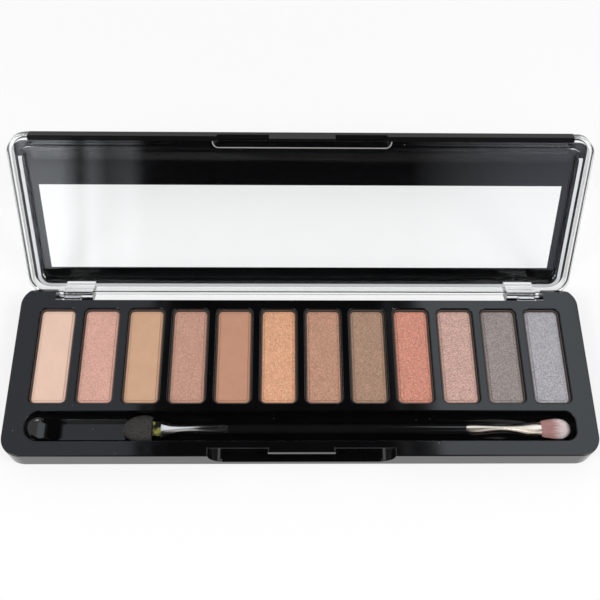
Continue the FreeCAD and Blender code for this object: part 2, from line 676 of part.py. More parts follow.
def taper(name, sections):
    """A smooth solid along X through oval sections, each given as x, width and thickness."""
    ovals = []
    for i, (x, wide, thick) in enumerate(sections):
        oval = doc.addObject("Part::Ellipse", "%s_section_%d" % (name, i + 1))
        bind(oval, "MajorRadius", wide + " / 2")
        bind(oval, "MinorRadius", thick + " / 2")
        oval.Placement = FreeCAD.Placement(
            FreeCAD.Vector(0, 0, 0),
            FreeCAD.Rotation(FreeCAD.Vector(0, 1, 0), FreeCAD.Vector(0, 0, 1), FreeCAD.Vector(1, 0, 0),
                             "ZXY"))
        place(oval, x="%s + %s" % (APPLICATOR_X, x), y="trough_y", z=APPLICATOR_Z)
        ovals.append(oval)
    loft = doc.addObject("Part::Loft", name)
    loft.Sections = ovals
    loft.Solid = True
    return loft


def combine(kind, name, first, second):
    """A named boolean of two shapes."""
    result = doc.addObject("Part::" + kind, name)
    result.Label = name
    result.Base = first
    result.Tool = second
    return result


handle_bar = rod("handle_bar", "handle_diameter", "handle_length", "0")
spigots = rod("handle_spigots", "spigot_diameter", "handle_length + 2 * spigot_length", "-spigot_length")
handle = combine("Fuse", "applicator_handle", handle_bar, spigots)

# Sponge end
sponge_ferrule_body = taper("sponge_ferrule_body", [
    ("0", "ferrule_diameter", "ferrule_diameter"),
    ("-spigot_length", "ferrule_diameter", "ferrule_diameter"),
    ("-sponge_ferrule_length * 0.62", "sponge_waist", "sponge_waist"),
    ("-sponge_ferrule_length * 0.84", "(sponge_waist + sponge_flare_width) / 2.3", "sponge_waist * 0.68"),
    ("-sponge_ferrule_length", "sponge_flare_width", "sponge_flare_thickness"),
])
sponge_socket = rod("sponge_socket", "spigot_diameter", "spigot_length", "-spigot_length")
holder_start = "(-sponge_ferrule_length - holder_neck - holder_in_sponge)"
holder_length = "(holder_neck + holder_in_sponge)"
holder_blade = blade("holder_blade", holder_length, "holder_width", "holder_thickness", holder_start)
holder_tenon = blade("holder_tenon", "tenon_length", "tenon_width", "holder_thickness",
                     "-sponge_ferrule_length")
holder = combine("Fuse", "sponge_holder", holder_blade, holder_tenon)
holder_slot = blade("holder_slot", "tenon_length", "tenon_width", "holder_thickness",
                    "-sponge_ferrule_length")
sponge_ferrule_bored = combine("Cut", "sponge_ferrule_bored", sponge_ferrule_body, sponge_socket)
sponge_ferrule = combine("Cut", "sponge_ferrule", sponge_ferrule_bored, holder_slot)

sponge_end = "(-sponge_ferrule_length - holder_neck)"
sponge_body = taper("sponge_body", [
    (sponge_end, "sponge_width * 0.84", "sponge_thickness * 0.8"),
    (sponge_end + " - sponge_length * 0.3", "sponge_width", "sponge_thickness"),
    (sponge_end + " - sponge_length * 0.62", "sponge_width * 0.86", "sponge_thickness * 0.9"),
    (sponge_end + " - sponge_length * 0.86", "sponge_width * 0.54", "sponge_thickness * 0.62"),
    (sponge_end + " - sponge_length", "sponge_width * 0.16", "sponge_thickness * 0.2"),
])
sponge_slot = blade("sponge_slot", holder_length + " + holder_fit_gap", "(holder_width + 2 * holder_fit_gap)",
                    "(holder_thickness + 2 * holder_fit_gap)", holder_start + " - holder_fit_gap")
sponge = combine("Cut", "sponge_tip", sponge_body, sponge_slot)

# Brush end
brush_ferrule_body = taper("brush_ferrule_body", [
    ("handle_length", "ferrule_diameter", "ferrule_diameter"),
    ("handle_length + spigot_length", "ferrule_diameter", "ferrule_diameter"),
    ("handle_length + brush_ferrule_length * 0.6", "brush_waist", "brush_waist"),
    ("handle_length + brush_ferrule_length * 0.84", "brush_flare_width", "brush_flare_thickness"),
    ("handle_length + brush_ferrule_length", "brush_flare_width", "brush_flare_thickness"),
])
brush_socket = rod("brush_socket", "spigot_diameter", "spigot_length", "handle_length")
bristle_start = "(handle_length + brush_ferrule_length)"
root_slot = blade("root_slot", "bristle_root_length", "bristle_root_width", "bristle_root_thickness",
                  bristle_start + " - bristle_root_length")
brush_ferrule_bored = combine("Cut", "brush_ferrule_bored", brush_ferrule_body, brush_socket)
brush_ferrule = combine("Cut", "brush_ferrule", brush_ferrule_bored, root_slot)

bristle_fan = taper("bristle_fan", [
    (bristle_start, "brush_flare_width", "brush_flare_thickness"),
    (bristle_start + " + bristle_length * 0.15", "bristle_width * 0.86", "bristle_thickness"),
    (bristle_start + " + bristle_length * 0.6", "bristle_width", "bristle_thickness * 0.95"),
    (bristle_start + " + bristle_length * 0.88", "bristle_width * 0.74", "bristle_thickness * 0.65"),
    (bristle_start + " + bristle_length", "bristle_width * 0.3", "bristle_thickness * 0.3"),
])
bristle_root = blade("bristle_root", "bristle_root_length", "bristle_root_width", "bristle_root_thickness",
                     bristle_start + " - bristle_root_length")
bristles = combine("Fuse", "bristle_tuft", bristle_fan, bristle_root)

# Build, check every object and write one file per piece
doc.recompute()
for thing in doc.Objects:
    if "Invalid" in thing.State or "Error" in thing.State:
        raise RuntimeError("%s failed: %s" % (thing.Label, thing.State))

pieces = [tray, cover] + pans + powders + [glue, lid, film] + pins
pieces += [handle, sponge_ferrule, holder, sponge, brush_ferrule, bristles]
os.makedirs("parts", exist_ok=True)
for piece in pieces:
    if piece.Shape.isNull() or not piece.Shape.isValid():
        raise RuntimeError("%s has no valid shape" % piece.Label)
for piece in pieces:
    piece.Shape.exportStep("parts/%s.step" % piece.Label)
    print("%-20s %d solid(s) %9.2f mm3" % (piece.Label, len(piece.Shape.Solids), piece.Shape.Volume))
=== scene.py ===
import math
import random

import bpy
from bpy.props import FloatProperty, FloatVectorProperty, IntProperty, PointerProperty
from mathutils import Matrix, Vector, noise


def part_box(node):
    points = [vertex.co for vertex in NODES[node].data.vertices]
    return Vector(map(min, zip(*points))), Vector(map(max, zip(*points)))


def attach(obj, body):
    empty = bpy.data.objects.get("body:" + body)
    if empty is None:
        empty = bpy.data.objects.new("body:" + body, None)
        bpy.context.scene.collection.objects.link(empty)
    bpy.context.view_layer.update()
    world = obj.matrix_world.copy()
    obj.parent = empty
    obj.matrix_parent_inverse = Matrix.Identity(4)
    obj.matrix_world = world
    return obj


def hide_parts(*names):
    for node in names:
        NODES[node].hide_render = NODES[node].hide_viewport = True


bl_info = {
    "name": "Eyeshadow palette",
    "version": (1, 0, 0),
    "blender": (4, 5, 0),
    "location": "3D View > Sidebar > Palette",
    "description": "Finishes, foam tip, brush hair and studio for a twelve-pan eyeshadow palette",
    "category": "Object",
}

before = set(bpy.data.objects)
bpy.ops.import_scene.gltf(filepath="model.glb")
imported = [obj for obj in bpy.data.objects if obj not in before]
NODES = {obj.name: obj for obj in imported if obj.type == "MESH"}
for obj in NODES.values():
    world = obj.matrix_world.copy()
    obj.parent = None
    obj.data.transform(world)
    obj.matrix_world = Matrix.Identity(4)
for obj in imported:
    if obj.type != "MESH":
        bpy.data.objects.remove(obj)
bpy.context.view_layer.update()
MM = 0.001
FULL_TURN = 2 * math.pi
# Most values of a noise lie between these two
NOISE_LOW = 0.3
NOISE_HIGH = 0.7
# Sockets of a Mix node that mixes colours
MIX_FIRST = 6
MIX_SECOND = 7
MIX_RESULT = 2


# Settings

def colour(name, description, default):
    return FloatVectorProperty(name=name, description=description, subtype="COLOR", size=3,
                               default=default, min=0.0, max=1.0)


def length(name, description, default):
    return FloatProperty(name=name, description=description, unit="LENGTH", subtype="DISTANCE",
                         default=default, min=0.0, precision=5)


def share(name, description, default):
    return FloatProperty(name=name, description=description, subtype="FACTOR",
                         default=default, min=0.0, max=1.0)


class PaletteCaseSettings(bpy.types.PropertyGroup):
    """Finishes of the base, the cover, the pans and the pins"""

    black: colour("Case black", "Colour of the glossy base", (0.0028, 0.0028, 0.0032))
    gloss: share("Case roughness", "Roughness of the glossy base", 0.035)
    cover: colour("Cover black", "Colour of the matt cover under the base", (0.016, 0.016, 0.017))
    tin: colour("Tin", "Colour of the pans", (0.70, 0.67, 0.62))
    steel: colour("Steel", "Colour of the hinge pins", (0.62, 0.62, 0.63))
    glue: colour("Glue", "Colour of the pads under the pans", (0.72, 0.66, 0.48))
    dust: share("Dust", "Share of the gloss that carries specks of dust", 0.05)


class PalettePowderSettings(bpy.types.PropertyGroup):
    """The twelve pressed powders, from left to right"""

    shade_01: colour("Shade 1", "Matte cream", (0.80, 0.555, 0.445))
    shade_02: colour("Shade 2", "Shimmer pink", (0.675, 0.370, 0.298))
    shade_03: colour("Shade 3", "Matte sand", (0.605, 0.367, 0.236))
    shade_04: colour("Shade 4", "Shimmer rose", (0.515, 0.282, 0.208))
    shade_05: colour("Shade 5", "Matte tan", (0.525, 0.272, 0.177))
    shade_06: colour("Shade 6", "Shimmer gold", (0.710, 0.354, 0.208))
    shade_07: colour("Shade 7", "Shimmer bronze", (0.478, 0.256, 0.172))
    shade_08: colour("Shade 8", "Shimmer moss", (0.366, 0.222, 0.151))
    shade_09: colour("Shade 9", "Shimmer copper", (0.585, 0.242, 0.170))
    shade_10: colour("Shade 10", "Shimmer mauve", (0.530, 0.332, 0.280))
    shade_11: colour("Shade 11", "Shimmer slate", (0.268, 0.228, 0.215))
    shade_12: colour("Shade 12", "Shimmer silver", (0.360, 0.349, 0.373))
    grain: length("Grain", "Size of the powder's grain", 0.34 * MM)
    border: length("Pressed border", "Width of the border that the press leaves", 0.9 * MM)


class PaletteLidSettings(bpy.types.PropertyGroup):
    """Finishes of the clear lid and its border film"""

    clear: colour("Clear plastic", "Tint of the lid", (0.975, 0.982, 0.984))
    film: colour("Film black", "Colour of the border film", (0.0035, 0.0035, 0.004))
    haze: share("Haze", "Roughness of the clear plastic where it was handled", 0.008)


class PaletteApplicatorSettings(bpy.types.PropertyGroup):
    """Finishes and hair of the two-ended applicator"""

    handle: colour("Handle black", "Colour of the handle", (0.006, 0.006, 0.006))
    bright: colour("Bright ferrule", "Metal at the sponge end", (0.86, 0.83, 0.79))
    champagne: colour("Champagne ferrule", "Metal at the brush end", (0.64, 0.565, 0.485))
    foam: colour("Foam", "Colour of the sponge", (0.036, 0.034, 0.033))
    hair_root: colour("Hair root", "Colour of the hair near the ferrule", (0.47, 0.25, 0.235))
    hair_tip: colour("Hair tip", "Colour of the hair at its tips", (0.97, 0.86, 0.86))
    hairs: IntProperty(name="Hairs", description="Number of hairs in the brush", default=1500, min=100)
    hair_radius: length("Hair radius", "Radius of one hair at its root", 0.05 * MM)
    pore_depth: length("Pore depth", "Depth of the foam's open cells", 0.05 * MM)


class PaletteStageSettings(bpy.types.PropertyGroup):
    """Floor, light and camera"""

    floor: colour("Floor", "Colour of the floor", (0.95, 0.95, 0.95))
    floor_white: share("Floor white", "Share of plain white in the floor as it is seen", 0.7)
    sky: FloatProperty(name="Sky", description="Strength of the soft light all round", default=0.62, min=0.0)
    lamp: FloatProperty(name="Lamp", description="Power of each softbox", unit="POWER",
                        default=1.42, min=0.0)
    lens: FloatProperty(name="Lens", description="Focal length", subtype="DISTANCE_CAMERA", default=54.0)
    eye: FloatVectorProperty(name="Camera place", description="Where the camera stands", subtype="XYZ",
                             unit="LENGTH", size=3, default=(-0.0055, -0.1165, 0.2817))
    turn: FloatVectorProperty(name="Camera turn", description="How the camera is turned", subtype="EULER",
                              unit="ROTATION", size=3,
                              default=(math.radians(27.416), math.radians(-0.917), math.radians(-0.364)))


# Materials

class Nodes:
    """The node tree of a material or a world, with short calls that add and join nodes."""

    def __init__(self, owner):
        owner.use_nodes = True
        self.tree = owner.node_tree
        self.tree.nodes.clear()

    def node(self, kind, inputs=None, **settings):
        made = self.tree.nodes.new(kind)
        for key, value in settings.items():
            setattr(made, key, value)
        for key, value in (inputs or {}).items():
            self.put(made.inputs[key], value)
        return made

    def put(self, socket, value):
        """Set a socket to a number or colour, or join it to an output."""
        if isinstance(value, bpy.types.NodeSocket):
            self.join(value, socket)
        elif socket.type == "RGBA":
            socket.default_value = (*value, 1.0)
        else:
            socket.default_value = value

    def join(self, output, socket):
        self.tree.links.new(output, socket)

    def math(self, operation, *values):
        made = self.node("ShaderNodeMath", operation=operation)
        for socket, value in zip(made.inputs, values):
            self.put(socket, value)
        return made.outputs["Value"]

    def ramp(self, value, levels):
        """Colours along a value from 0 to 1, where each level is a place and a colour."""
        made = self.node("ShaderNodeValToRGB", {"Fac": value})
        stops = made.color_ramp.elements
        while len(stops) < len(levels):
            stops.new(1.0)
        for stop, (position, shade) in zip(stops, levels):
            stop.position = position
            stop.color = (*shade, 1.0)
        return made.outputs["Color"]

    def either(self, share_of_second, first, second):
        """A mix of two shaders."""
        made = self.node("ShaderNodeMixShader", {"Fac": share_of_second, 1: first, 2: second})
        return made.outputs["Shader"]


class Finish(Nodes):
    """A material being made: one surface shader, with short calls for its patterns and masks."""

    def __init__(self, name, constants):
        self.material = bpy.data.materials.new(name)
        super().__init__(self.material)
        self.output = self.node("ShaderNodeOutputMaterial")
        self.shader = self.node("ShaderNodeBsdfPrincipled", constants)
        self.join(self.shader.outputs["BSDF"], self.output.inputs["Surface"])
        self.coordinates = self.node("ShaderNodeTexCoord")
        self.place = self.coordinates.outputs["Object"]

    def set(self, name, value):
        self.put(self.shader.inputs[name], value)

    def noise(self, size, detail, roughness=0.5, place=None):
        """Soft noise, from 0 to 1, with features about as wide as size."""
        made = self.node("ShaderNodeTexNoise", {"Vector": place or self.place, "Scale": 1.0 / size,
                                                "Detail": detail, "Roughness": roughness})
        return made.outputs["Fac"]

    def streaks(self, rates, detail):
        """Soft noise drawn out into streaks: along each axis, how many features lie in a metre."""
        drawn = self.node("ShaderNodeMapping", {"Vector": self.place, "Scale": rates})
        return self.noise(1.0, detail, place=drawn.outputs["Vector"])

    def cells(self, size):
        """Random cells about as wide as size: the node, for its Distance and Color."""
        return self.node("ShaderNodeTexVoronoi", {"Vector": self.place, "Scale": 1.0 / size})

    def remap(self, value, low, high, new_low, new_high):
        made = self.node("ShaderNodeMapRange", {"Value": value, "From Min": low, "From Max": high,
                                                "To Min": new_low, "To Max": new_high})
        return made.outputs["Result"]

    def vary(self, pattern, low, high):
        """A value that follows a noise from low to high."""
        return self.remap(pattern, NOISE_LOW, NOISE_HIGH, low, high)

    def between(self, mask, low, high):
        """A value that goes from low to high as a mask goes from 0 to 1."""
        return self.remap(mask, 0.0, 1.0, low, high)

    def mix(self, factor, first, second):
        made = self.node("ShaderNodeMix", data_type="RGBA")
        self.put(made.inputs["Factor"], factor)
        self.put(made.inputs[MIX_FIRST], first)
        self.put(made.inputs[MIX_SECOND], second)
        return made.outputs[MIX_RESULT]

    def scaled(self, shade, factor):
        """A colour made lighter or darker by a number."""
        made = self.node("ShaderNodeVectorMath", operation="SCALE")
        self.put(made.inputs[0], shade)
        self.put(made.inputs["Scale"], factor)
        return made.outputs["Vector"]

    def reach(self, direction):
        """How far a point lies along a direction."""
        made = self.node("ShaderNodeVectorMath", {0: self.place, 1: direction}, operation="DOT_PRODUCT")
        return made.outputs["Value"]

    def both(self, first, second):
        """A mask of what two masks share."""
        return self.math("MULTIPLY", first, second)

    def bump(self, height, depth, under=None):
        made = self.node("ShaderNodeBump", {"Height": height, "Strength": 1.0, "Distance": depth})
        if under is not None:
            self.join(under, made.inputs["Normal"])
        return made.outputs["Normal"]

    def specks(self, size, amount, smallest=0.05, largest=0.13):
        """A mask of round specks in an amount of the cells, with radii in shares of a cell."""
        grid = self.cells(size)
        parts = self.node("ShaderNodeSeparateColor", {"Color": grid.outputs["Color"]})
        chosen = self.math("LESS_THAN", parts.outputs["Red"], amount)
        radius = self.between(parts.outputs["Green"], smallest, largest)
        inside = self.math("LESS_THAN", grid.outputs["Distance"], radius)
        return self.both(chosen, inside)


def wear(node_name, finish):
    """Give a CAD node a finish."""
    materials = NODES[node_name].data.materials
    materials.clear()
    materials.append(finish.material)


# Cells that may hold a speck of dust, and the specks' shade and roughness
DUST_CELL = 1.5 * MM
DUST_SHADE = (0.16, 0.155, 0.15)
DUST_ROUGHNESS = 0.7


def gloss_black(name, shade, roughness, dust, wave=38 * MM):
    """Glossy moulded plastic: slow waves from the mould, faint wiping marks and a few specks of dust."""
    finish = Finish(name, {"IOR": 1.47})
    specks = finish.specks(DUST_CELL, dust)
    cloud = finish.noise(9 * MM, detail=3.0)
    tone = finish.scaled(shade, finish.vary(cloud, 0.85, 1.2))
    finish.set("Base Color", finish.mix(specks, tone, DUST_SHADE))
    wiped = finish.streaks((60.0, 420.0, 200.0), detail=4.0)
    smooth = finish.remap(wiped, 0.35, 0.75, roughness, roughness + 0.05)
    dusty = finish.math("MULTIPLY", specks, DUST_ROUGHNESS)
    finish.set("Roughness", finish.math("MAXIMUM", smooth, dusty))
    finish.set("Normal", finish.bump(finish.noise(wave, detail=1.0), 0.03 * MM))
    return finish


def fine_metal(name, shade, roughness, rates=(40.0, 2600.0, 2600.0)):
    """Metal with fine lines along X."""
    finish = Finish(name, {"Metallic": 1.0})
    lines = finish.streaks(rates, detail=3.0)
    finish.set("Base Color", finish.scaled(shade, finish.vary(lines, 0.93, 1.03)))
    haze = finish.noise(2.2 * MM, detail=3.0)
    rough = finish.math("ADD", finish.vary(lines, -0.03, 0.04), finish.vary(haze, -0.02, 0.03))
    finish.set("Roughness", finish.math("ADD", rough, roughness))
    finish.set("Normal", finish.bump(lines, 0.004 * MM))
    return finish


def box_size(node_name):
    low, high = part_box(node_name)
    return high - low


# Base, pans and powders

class PALETTE_OT_case(bpy.types.Operator):
    """Finish the glossy base, the matt cover under it and the hinge pins"""

    bl_idname = "palette.case"
    bl_label = "Base, cover and pins"

    def execute(self, context):
        look = context.scene.palette_case
        wear("base_tray", gloss_black("case_gloss_black", look.black, look.gloss, look.dust))

        cover = Finish("cover_matt_black", {})
        spark = cover.noise(0.35 * MM, detail=4.0, roughness=0.6)
        cover.set("Base Color", cover.scaled(look.cover, cover.vary(spark, 0.7, 1.4)))
        cover.set("Roughness", cover.vary(spark, 0.42, 0.62))
        cover.set("Normal", cover.bump(spark, 0.03 * MM))
        wear("base_cover", cover)

        steel = fine_metal("pin_drawn_steel", look.steel, roughness=0.2, rates=(80.0, 3000.0, 3000.0))
        wear("hinge_pin_left", steel)
        wear("hinge_pin_right", steel)
        return {"FINISHED"}


class PALETTE_OT_pans(bpy.types.Operator):
    """Finish the tin pans and the glue pads under them"""

    bl_idname = "palette.pans"
    bl_label = "Pans and glue"

    # How far under the rim the tin begins to darken, with powder stain and painted shade of its well, and
    # where it is as dark as it gets
    stain_and_shade_start = 1.6 * MM
    stain_and_shade_end = 1.0 * MM
    # How strongly the rim is darkened by powder stain and painted shade, how dull the random stains are, and
    # the colour of both
    rim_stain_and_shade = 0.94
    stain_dull = 0.7
    stain_and_shade_colour = (0.055, 0.036, 0.028)

    def execute(self, context):
        look = context.scene.palette_case
        tin = Finish("pan_tin", {})
        lines = tin.streaks((900.0, 900.0, 5000.0), detail=3.0)
        stain = tin.noise(0.9 * MM, detail=4.0, roughness=0.6)
        tone = tin.scaled(look.tin, tin.vary(lines, 0.85, 1.08))
        height = tin.node("ShaderNodeSeparateXYZ", {"Vector": tin.place}).outputs["Z"]
        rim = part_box("pan_01")[1].z
        # The tin's top is darkened by height: partly powder stain, partly painted shade of the well it sits
        # in
        stain_and_shade = tin.remap(height, rim - self.stain_and_shade_start, rim - self.stain_and_shade_end, 0.0, self.rim_stain_and_shade)
        stain_and_shade = tin.math("MAXIMUM", stain_and_shade, tin.remap(stain, 0.5, 0.75, 0.0, self.stain_dull))
        tin.set("Base Color", tin.mix(stain_and_shade, tone, self.stain_and_shade_colour))
        tin.set("Metallic", tin.between(stain_and_shade, 1.0, 0.15))
        tin.set("Roughness", tin.between(stain_and_shade, 0.24, 0.6))
        tin.set("Normal", tin.bump(lines, 0.006 * MM))
        for node_name in NODES:
            if node_name.startswith("pan_") and node_name != "pan_adhesive":
                wear(node_name, tin)

        glue = Finish("pan_glue", {"Roughness": 0.45, "IOR": 1.45})
        film = glue.noise(1.6 * MM, detail=3.0)
        glue.set("Base Color", glue.scaled(look.glue, glue.vary(film, 0.8, 1.1)))
        glue.set("Normal", glue.bump(film, 0.05 * MM))
        wear("pan_adhesive", glue)
        return {"FINISHED"}


def border_distance(finish, wide, long, corner):
    """Distance in from the outline of a rounded rectangle that fills the node's box."""
    spot = finish.node("ShaderNodeSeparateXYZ", {"Vector": finish.coordinates.outputs["Generated"]})
    beyond = []
    for axis, extent in (("X", wide), ("Y", long)):
        centred = finish.math("SUBTRACT", spot.outputs[axis], 0.5)
        outward = finish.math("ABSOLUTE", finish.math("MULTIPLY", centred, extent))
        beyond.append(finish.math("SUBTRACT", outward, extent / 2 - corner))
    x = beyond[0]
    y = beyond[1]
    round_x = finish.math("MAXIMUM", x, 0.0)
    round_y = finish.math("MAXIMUM", y, 0.0)
    squares = finish.math("ADD", finish.math("POWER", round_x, 2.0), finish.math("POWER", round_y, 2.0))
    outside = finish.math("SQRT", squares)
    inside = finish.math("MINIMUM", finish.math("MAXIMUM", x, y), 0.0)
    return finish.math("SUBTRACT", corner, finish.math("ADD", outside, inside))


# Corner of a powder's outline
POWDER_CORNER = 1.57 * MM
# Painted light and shade across a powder's border that the press leaves: painted shade at its outer edge and
# in the crease, a painted highlight on the band between, with places in shares of twice its width
BORDER_LIGHT_AND_SHADE = ((0.0, 0.62), (0.16, 1.043), (0.40, 1.043), (0.50, 0.918), (0.62, 1.004))
# A shimmer's bright flecks, pale flakes with a painted glint, as a lift and a gain on the powder's shade,
# and the share of it in the dark ones
FLECK_AND_GLINT_LIFT = 0.06
FLECK_AND_GLINT_GAIN = 1.75
DARK_FLECK = 0.45


def pressed_powder(name, shade, grain, border, extent, shimmer):
    """Pressed powder: grain, slow clouds, painted light and shade on its border and, in a shimmer, bright
    flecks that are pale flakes with a painted glint.
    """
    finish = Finish(name, {"IOR": 1.4})
    cloud = finish.vary(finish.noise(5.5 * MM, detail=3.0), 0.965, 1.03)
    coarse = finish.noise(grain, detail=2.0, roughness=0.6)
    fine = finish.noise(grain * 0.4, detail=2.0, roughness=0.6)
    strength = 0.04 + 0.10 * shimmer
    half = strength / 2
    tone = finish.vary(coarse, 1.0 - strength, 1.0 + strength)
    tone = finish.math("MULTIPLY", tone, finish.vary(fine, 1.0 - half, 1.0 + half))
    tone = finish.math("MULTIPLY", tone, cloud)

    from_edge = border_distance(finish, extent.x, extent.y, POWDER_CORNER)
    # Painted light and shade on the border: darker at its edge and in the crease, lighter on the band
    # between
    levels = [(place, (painted_light, painted_light, painted_light)) for place, painted_light in BORDER_LIGHT_AND_SHADE]
    border_light_and_shade = finish.ramp(finish.remap(from_edge, 0.0, 2.0 * border, 0.0, 1.0), levels)
    tone = finish.math("MULTIPLY", tone, border_light_and_shade)
    body = finish.scaled(shade, tone)

    if shimmer:
        flake = finish.cells(grain * 0.75)
        parts = finish.node("ShaderNodeSeparateColor", {"Color": flake.outputs["Color"]})
        spread = 0.25 * shimmer
        body = finish.scaled(body, finish.between(parts.outputs["Blue"], 1.0 - spread, 1.0 + spread))
        # Bright flecks: pale flakes, lightened further by a painted glint
        bright = finish.remap(parts.outputs["Red"], 0.60, 1.0, 0.0, 0.55 * shimmer)
        pale = [min(1.0, FLECK_AND_GLINT_LIFT + FLECK_AND_GLINT_GAIN * level) for level in shade]
        body = finish.mix(bright, body, pale)
        dark = finish.remap(parts.outputs["Green"], 0.0, 0.25, 0.45 * shimmer, 0.0)
        body = finish.mix(dark, body, [DARK_FLECK * level for level in shade])
        finish.set("Metallic", finish.remap(parts.outputs["Red"], 0.7, 1.0, 0.0, 0.5))
        finish.set("Roughness", finish.between(parts.outputs["Blue"], 0.42, 0.7))
    else:
        finish.set("Roughness", finish.vary(coarse, 0.78, 0.95))
    finish.set("Base Color", body)
    finish.set("Normal", finish.bump(coarse, (0.012 + 0.02 * shimmer) * MM))
    return finish


class PALETTE_OT_powders(bpy.types.Operator):
    """Finish the twelve pressed powders"""

    bl_idname = "palette.powders"
    bl_label = "Powders"

    # How strongly each powder shimmers, from left to right
    shimmers = (0.0, 0.65, 0.0, 0.75, 0.0, 0.95, 1.0, 1.0, 1.1, 1.1, 1.15, 1.1)

    def execute(self, context):
        look = context.scene.palette_powders
        for index, shimmer in enumerate(self.shimmers, start=1):
            node_name = "powder_%02d" % index
            shade = tuple(getattr(look, "shade_%02d" % index))
            wear(node_name, pressed_powder(node_name + "_pressed", shade, look.grain, look.border,
                                           box_size(node_name), shimmer))
        return {"FINISHED"}


# Lid

class PALETTE_OT_lid(bpy.types.Operator):
    """Finish the clear lid and its black border film"""

    bl_idname = "palette.lid"
    bl_label = "Lid and film"

    # How far the open lid leans back from upright
    lean = math.radians(30.0)
    # Painted highlight on the bead's edge: how far that edge stands in from the lid's panel, half its
    # height, and where its front run begins
    bead_edge = 4.0 * MM
    bead_line = 0.12 * MM
    bead_front = 7.0 * MM
    # Painted highlight along the edge of the thumb block
    rim_edge = 4.2 * MM
    block_reach = 28.5 * MM
    block_depth = 3.9 * MM
    block_round = 2.0 * MM
    block_line = 0.3 * MM
    block_slack = 0.1 * MM
    # Black front wall: its thickness and half its length
    wall = 1.55 * MM
    wall_reach = 86.5 * MM
    # Colours of the painted highlights on the bead's edge and the block's edge, and of the black wall
    bead_highlight_colour = (0.70, 0.72, 0.73)
    block_highlight_colour = (0.42, 0.395, 0.39)
    wall_tint = (0.006, 0.006, 0.006)
    # Refractive index of the plastic, and what it lets through to a shadow
    plastic_index = 1.5
    shadow_tint = (0.93, 0.94, 0.94)

    def block_highlight_mask(self, clear, depth, run, across, back, front):
        """A mask of the painted highlight along the thumb block's edge."""
        past_x = clear.math("SUBTRACT", across, self.block_reach - self.block_round)
        past_run = clear.math("SUBTRACT", front - self.block_depth + self.block_round, run)
        squares = clear.math("ADD", clear.math("POWER", clear.math("MAXIMUM", past_x, 0.0), 2.0),
                             clear.math("POWER", clear.math("MAXIMUM", past_run, 0.0), 2.0))
        lined = clear.math("GREATER_THAN", clear.math("SQRT", squares), self.block_round - self.block_line)
        rim = clear.math("GREATER_THAN", depth, back + self.rim_edge)
        near_x = clear.math("LESS_THAN", across, self.block_reach)
        near_run = clear.math("GREATER_THAN", run, front - self.block_depth - self.block_slack)
        return clear.both(clear.both(rim, lined), clear.both(near_x, near_run))

    def with_edges(self, clear):
        """The clear shader with painted highlights on the bead's edge and the block's edge, and a black
        front wall.
        """
        inward = Vector((0.0, -math.cos(self.lean), math.sin(self.lean)))
        forward = Vector((0.0, math.sin(self.lean), math.cos(self.lean)))
        points = [vertex.co for vertex in NODES["lid_shell"].data.vertices]
        back = min(point.dot(inward) for point in points)
        front = max(point.dot(forward) for point in points)
        depth = clear.reach(inward)
        run = clear.reach(forward)
        across = clear.math("ABSOLUTE", clear.reach(Vector((1.0, 0.0, 0.0))))
        off_edge = clear.math("ABSOLUTE", clear.math("SUBTRACT", depth, back + self.bead_edge))
        bead = clear.both(clear.math("LESS_THAN", off_edge, self.bead_line),
                          clear.math("LESS_THAN", run, front - self.bead_front))
        wall = clear.both(clear.math("GREATER_THAN", run, front - self.wall),
                          clear.math("LESS_THAN", across, self.wall_reach))
        block = self.block_highlight_mask(clear, depth, run, across, back, front)
        solid = clear.math("MAXIMUM", clear.math("MAXIMUM", bead, block), wall)
        # The edges of the bead and the block are painted highlights, opaque over the clear plastic
        painted_light = clear.mix(block, self.bead_highlight_colour, self.block_highlight_colour)
        edges = clear.node("ShaderNodeBsdfPrincipled", {
            "Base Color": clear.mix(wall, painted_light, self.wall_tint), "IOR": self.plastic_index,
            "Roughness": 0.01, "Specular IOR Level": clear.between(wall, 0.5, 0.06)})
        return clear.either(solid, clear.shader.outputs["BSDF"], edges.outputs["BSDF"])

    def execute(self, context):
        look = context.scene.palette_lid
        clear = Finish("lid_clear_plastic", {"Base Color": look.clear, "IOR": self.plastic_index,
                                             "Transmission Weight": 1.0})
        handled = clear.streaks((90.0, 260.0, 260.0), detail=4.0)
        clear.set("Roughness", clear.remap(handled, 0.5, 0.8, 0.0, look.haze))
        shadow = clear.node("ShaderNodeLightPath").outputs["Is Shadow Ray"]
        passing = clear.node("ShaderNodeBsdfTransparent", {"Color": self.shadow_tint})
        surface = clear.either(shadow, self.with_edges(clear), passing.outputs["BSDF"])
        clear.join(surface, clear.output.inputs["Surface"])
        wear("lid_shell", clear)

        film = gloss_black("lid_film_black", look.film, roughness=0.05, dust=0.03, wave=60 * MM)
        wear("lid_border_film", film)
        return {"FINISHED"}


# Applicator

